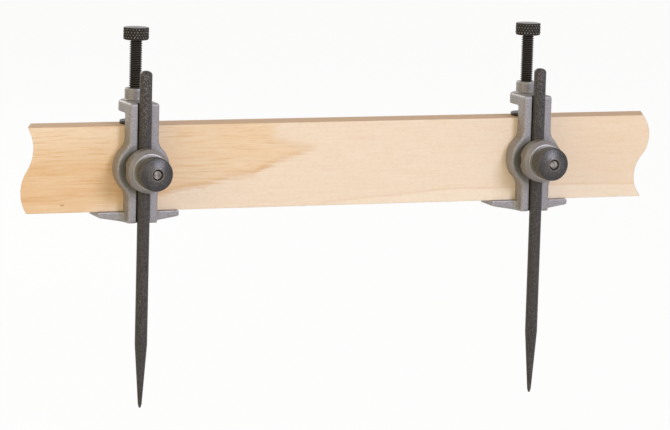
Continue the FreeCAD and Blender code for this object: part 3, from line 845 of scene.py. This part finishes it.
# %% [markdown]
# ## Blackened steel
# The screws, rods and pads are blackened by a hot oxide bath. It is nearly black where it is deep,
# and shows a grey, slightly lilac sheen where light meets it. The rods are blotched, with fine pale
# specks that get stronger towards the top. The screws' crests and the tips of the knurl are painted
# bright, partly as wear and partly as painted highlight; the mesh keeps at each point how much.

# %% Black finishes
SPECK_GREY, WEAR_AND_SHEEN_GREY, WEAR_AND_HIGHLIGHT_GREY = chart(150, 144, 140), chart(96, 88, 78), chart(206, 199, 190)
PIT_BLACK = chart(30, 26, 24)
SPECKS_GROW = (10.0, 45.0)


def make_black(name, deep, sheen, roughness, speck_share=0.3, bright_share=0.0, specular=0.35):
    """Black oxide: shares say how many pale specks it has and how brightly the marked crests and tips
    are painted, as wear and painted highlight.
    """
    material, net = finish_for(name)
    place = object_place(net)
    height = in_mm(net, place, "Z")
    blotch = cloud(net, place, (900, 900, 420), 4.0, 0.65)
    speck = cloud(net, place, (2000, 2000, 1800), 2.0)
    upper = 0.4 + step(net, height, *SPECKS_GROW) * 0.6
    colour = mixed(net, step(net, blotch, 0.38, 0.62), deep, sheen)
    colour = mixed(net, step(net, speck, 0.54, 0.64) * upper * speck_share, colour, SPECK_GREY)
    colour = mixed(net, step(net, 1 - speck, 0.56, 0.66) * upper * speck_share * 0.7,
                   colour, PIT_BLACK)
    rubbed = mark_of(net, "rubbed")
    # crests and knurl tips painted brighter: partly wear, partly painted highlight
    colour = mixed(net, step(net, rubbed, 0.1, 0.6) * bright_share * 0.4, colour, WEAR_AND_SHEEN_GREY)
    crest = step(net, rubbed + (speck - 0.5) * 0.6, 0.62, 0.95) * bright_share
    colour = mixed(net, crest, colour, WEAR_AND_HIGHLIGHT_GREY)
    surface(net, colour, roughness + (blotch - 0.5) * 0.22, speck * 0.5 + blotch * 0.5, 0.03,
            specular=specular)
    return material


rod_black = make_black("rod_black", chart(56, 51, 51), chart(71, 66, 66), 0.42, 0.6, specular=0.18)
screw_black = make_black("screw_black", chart(12, 9, 8), chart(26, 21, 19), 0.22, 0.1, 1.0, 0.14)
pad_black = make_black("pad_black", chart(46, 38, 36), chart(60, 50, 46), 0.42)
for side in SIDES:
    show_on(side, "screw_threaded", screw_mesh, screw_black, "screw", "clamp_screw")
print("screws shown")

# %% [markdown]
# ## The scriber rods
# A rod is a plain turned piece: a domed top, a long shank with a fine line where the taper
# starts, the taper, and a blunt steep point. One profile carried round its axis gives all of it.

# %% Rods
ROD_RADIUS, ROD_TAPER, LINE_DEPTH, LINE_WIDTH = 3.875, 40.0, 0.12, 0.55
DOME_HEIGHT, TIP_RADIUS, TIP_LENGTH, POINT_RADIUS = 2.6, 1.2, 2.1, 0.55
SHANK_ROWS, ROD_COLUMNS = 69, 64


def rod_grid(side):
    """Rings from the point up: radius against height, with the dome as a quarter of an oval."""
    low, high = [corner.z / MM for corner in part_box(side + "_scriber_rod")]
    taper_top, dome_low = low + ROD_TAPER, high - DOME_HEIGHT
    tip, taper = np.linspace(0, 1, 7), np.linspace(0, 1, 30)[1:]
    shank = np.linspace(taper_top + 2 * LINE_WIDTH, dome_low, SHANK_ROWS + 1)[1:]
    sweep = np.linspace(0, np.pi / 2, 12)[1:]
    radius = np.concatenate([[0], POINT_RADIUS + (TIP_RADIUS - POINT_RADIUS) * tip,
                             TIP_RADIUS + (ROD_RADIUS - TIP_RADIUS) * taper,
                             ROD_RADIUS - LINE_DEPTH * np.array([0, 1, 1, 0]),
                             np.full(SHANK_ROWS, ROD_RADIUS), ROD_RADIUS * np.cos(sweep)])
    height = np.concatenate([[low], low + TIP_LENGTH * tip,
                             low + TIP_LENGTH + (ROD_TAPER - TIP_LENGTH) * taper,
                             taper_top + LINE_WIDTH * np.array([0.5, 0.6, 0.9, 1.0]),
                             shank, dome_low + DOME_HEIGHT * np.sin(sweep)])
    return upright_ring(radius[:, None], height[:, None], around(ROD_COLUMNS), HEAD_X[side], ROD_Y)


for side in SIDES:
    rod_mesh = piece_from_grids(side + "_rod", [rod_grid(side)], sharp=60)
    show(side + "_rod_turned", rod_mesh, rod_black, side + "_scriber", side + "_scriber_rod")
print("rods:", len(rod_mesh.polygons), "faces each")

# %% [markdown]
# ## The clamp knobs
# A knob is a round nut: its side flares from the washer, then runs straight with a fine straight
# knurl to a chamfered rim. Its front is domed and has a raised lip round its hole. The knurl is a
# ripple of the radius with the angle, which only cuts into what reaches the full radius, so the
# teeth show at the rim.

# %% Knob surface
KNOB_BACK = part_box("left_clamp_knob")[1].y / MM
KNOB_RADIUS, KNOB_SIDE, KNOB_DOME, DOME_BULGE = 10.5, 11.65, 1.7, 0.4
KNOB_BACK_RADIUS, KNOB_FLARE, FLARE_START = 9.3, 5.0, 0.15
KNOB_CHAMFER, LIP_RADIUS, LIP_HEIGHT = 0.5, 4.1, 0.25
MOUTH_RADIUS, MOUTH_DEPTH, BORE_RADIUS, BORE_CHAMFER = 3.45, 0.5, 3.225, 0.3
TEETH, TOOTH_DEPTH, TOOTH_ROUND, TOOTH_COLUMNS, SIDE_ROWS = 72, 0.38, 0.8, 8, 12


def knob_profile():
    """(radius, height) once round the nut's section: side, rim, dome, lip, mouth, bore and back."""
    rim, crown, straight = KNOB_RADIUS - KNOB_CHAMFER, KNOB_SIDE + KNOB_DOME, KNOB_SIDE - KNOB_CHAMFER
    flare, chamfer, dome = np.linspace(0, 1, 8), np.linspace(0, 1, 6)[1:], np.linspace(0, 1, 22)[1:]
    lip, lip_half = np.linspace(0, np.pi, 9), (LIP_RADIUS - MOUTH_RADIUS) / 2
    radius = np.concatenate([[KNOB_BACK_RADIUS - 0.3, KNOB_BACK_RADIUS - 0.05],
                             KNOB_BACK_RADIUS + (KNOB_RADIUS - KNOB_BACK_RADIUS) * flare,
                             np.full(SIDE_ROWS, KNOB_RADIUS), KNOB_RADIUS - KNOB_CHAMFER * chamfer,
                             rim + (LIP_RADIUS - rim) * dome,
                             (LIP_RADIUS + MOUTH_RADIUS) / 2 + lip_half * np.cos(lip),
                             BORE_RADIUS + BORE_CHAMFER * np.array([0, 0, 0, 1])])
    height = np.concatenate([[0, 0.02], FLARE_START + (KNOB_FLARE - FLARE_START) * flare,
                             np.linspace(KNOB_FLARE, straight, SIDE_ROWS + 1)[1:],
                             straight + KNOB_CHAMFER * chamfer,
                             KNOB_SIDE + KNOB_DOME * dome * (1 + DOME_BULGE - DOME_BULGE * dome),
                             crown + LIP_HEIGHT * np.sin(lip),
                             [crown + LIP_HEIGHT - MOUTH_DEPTH, KNOB_SIDE / 2, BORE_CHAMFER, 0]])
    return radius[:, None], height[:, None]


def knob_grid():
    """The profile carried round, cut back between the teeth by a ripple of the angle."""
    radius, height = knob_profile()
    angle = around(TEETH * TOOTH_COLUMNS)
    ripple = TOOTH_DEPTH * np.abs(np.sin(TEETH * angle / 2)) ** TOOTH_ROUND
    carried = np.minimum(radius, KNOB_RADIUS - ripple)
    grid = front_ring(carried, height, angle, HEAD_X["left"], KNOB_BACK, KNOB_Z)
    on_side = (radius > KNOB_BACK_RADIUS - 0.1) & (height < KNOB_SIDE - KNOB_CHAMFER + 0.01)
    return grid, [np.broadcast_to(value, carried.shape) for value in (radius, on_side.astype(float))]


knob_points, (knob_radius, knob_side) = knob_grid()
knob_mesh = piece_from_grids("knob", [knob_points], {"from_axis": [knob_radius],
                             "on_side": [knob_side]}, through=True, sharp=55)
print("knob:", 2 * len(knob_mesh.polygons), "triangles")

# %% [markdown]
# ## Knob finish
# The knobs are dark and a little blue, and their fronts are turned: fine rings round the hole
# that spread the light. The rings need the distance from the axis, which each point of the mesh
# keeps as a mark. The side is painted lighter and olive, as the warm light and board it reflects;
# the front is painted lighter towards the hole and the raised lip brighter, both as painted
# highlight.

# %% Turned finish
KNOB_DARK, KNOB_LIGHT, KNOB_SIDE_PAINTED_OLIVE = chart(40, 41, 45), chart(55, 54, 57), chart(72, 72, 63)
KNOB_PAINTED_HIGHLIGHT, KNOB_SPECK, LIP_HIGHLIGHT_GREY = chart(104, 99, 99), chart(124, 118, 116), chart(150, 144, 140)
KNOB_TINT = (1.0, 0.90, 0.82, 1.0)
RING_TURN = 26.0  # radians to the millimetre


def make_knob_finish():
    material, net = finish_for("knob_blue_black")
    place = object_place(net)
    radius = mark_of(net, "from_axis")
    rings = net.add("ShaderNodeMath", {"operation": "SINE"}, {0: radius * RING_TURN})
    tone = cloud(net, place, 190)
    grit = cloud(net, place, 1100, 2.0)
    colour = mixed(net, step(net, tone, 0.2, 0.8), KNOB_DARK, KNOB_LIGHT)
    # painted reflection: the side is painted lighter and olive, as the warm light and board it
    # reflects
    colour = mixed(net, mark_of(net, "on_side") * 0.8, colour, KNOB_SIDE_PAINTED_OLIVE)
    # painted highlight: the front is painted lighter towards the hole
    inner = 1 - step(net, radius, 4.0, 9.0)
    colour = mixed(net, inner * (0.25 + step(net, grit, 0.5, 0.62) * 0.35), colour, KNOB_PAINTED_HIGHLIGHT)
    # painted highlight on the raised lip
    lip_highlight = step(net, radius, 3.3, 3.5) * (1 - step(net, radius, 4.0, 4.2))
    colour = mixed(net, lip_highlight * 0.3, colour, LIP_HIGHLIGHT_GREY)
    colour = mixed(net, step(net, grit, 0.55, 0.68) * 0.25, colour, KNOB_SPECK)
    surface(net, colour, 0.31 + (tone - 0.5) * 0.1, rings * 0.35 + grit * 0.4, 0.012,
            metallic=0.2, specular=0.52, tint=KNOB_TINT)
    return material


knob_metal = make_knob_finish()
for side in SIDES:
    show_on(side, "knob_knurled", knob_mesh, knob_metal, "knob", "clamp_knob")
print("knobs shown")

# %% [markdown]
# ## The pressure pads
# A dark steel disc lies on the board under each screw, so that the screw's tip doesn't dent the
# wood. Only its edge shows. It is a short turned piece with a rounded rim and a socket on top.

# %% Pads
PAD_ROUND, PAD_CHAMFER, SOCKET_RADIUS, SOCKET_DEPTH, PAD_COLUMNS = 0.45, 0.15, 2.65, 1.3, 72


def pad_grid():
    """Rings of the pad: under side, rounded rim, top, and down into the socket for the screw's tip."""
    low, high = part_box("left_pressure_pad")
    radius, thick = (high.x - low.x) / 2 / MM, (high.z - low.z) / MM
    sweep = np.linspace(0, np.pi / 2, 7)
    outer = np.concatenate([[0, radius - PAD_CHAMFER, radius],
                            radius - PAD_ROUND + PAD_ROUND * np.cos(sweep),
                            [SOCKET_RADIUS + PAD_CHAMFER, SOCKET_RADIUS, SOCKET_RADIUS, 0]])
    rise = np.concatenate([[0, 0, PAD_CHAMFER], thick - PAD_ROUND + PAD_ROUND * np.sin(sweep),
                           [thick, thick - PAD_CHAMFER, thick - SOCKET_DEPTH, thick - SOCKET_DEPTH]])
    return upright_ring(outer[:, None], low.z / MM + rise[:, None], around(PAD_COLUMNS),
                        HEAD_X["left"], SCREW_Y)


pad_mesh = piece_from_grids("pad", [pad_grid()], sharp=50)
for side in SIDES:
    show_on(side, "pad_turned", pad_mesh, pad_black, "pad", "pressure_pad")
print("pads:", len(pad_mesh.polygons), "faces each")

# %% [markdown]
# ## The draw bolts
# Only the end of each draw bolt shows, inside the knob's hole. The solids already have the right
# shape, thread and all, so they stay and get a finish: grey steel on the flat end, and a painted
# shade where the thread starts, as the shadow inside the hole. The distance from the bolt's own
# axis tells the two apart.

# %% Bolt finish
BOLT_FACE, BOLT_EDGE = 2.45, 0.3
BOLT_DULL, BOLT_CLEAN, BOLT_PAINTED_SHADE = chart(88, 79, 75), chart(150, 140, 134), chart(26, 23, 21)


def make_bolt_steel(side):
    material, net = finish_for(side + "_bolt_steel")
    place = object_place(net)
    x, z = [in_mm(net, place, axis) for axis in "XZ"]
    from_x, from_z = x - HEAD_X[side], z - KNOB_Z
    # painted shade: the ring where the thread starts is darkened as the shadow in the hole
    shaded_rim = step(net, (from_x * from_x + from_z * from_z) ** 0.5, BOLT_FACE, BOLT_FACE + BOLT_EDGE)
    worn = cloud(net, place, 420, 3.0, 0.6)
    colour = mixed(net, step(net, worn, 0.38, 0.62), BOLT_DULL, BOLT_CLEAN)
    colour = mixed(net, shaded_rim * 0.9, colour, BOLT_PAINTED_SHADE)
    surface(net, colour, 0.42 + (worn - 0.5) * 0.2, worn, 0.05, metallic=0.35)
    return material


for side in SIDES:
    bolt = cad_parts[side + "_draw_bolt"]
    bolt.data.materials.clear()
    bolt.data.materials.append(make_bolt_steel(side))
print("draw bolts keep their solids")
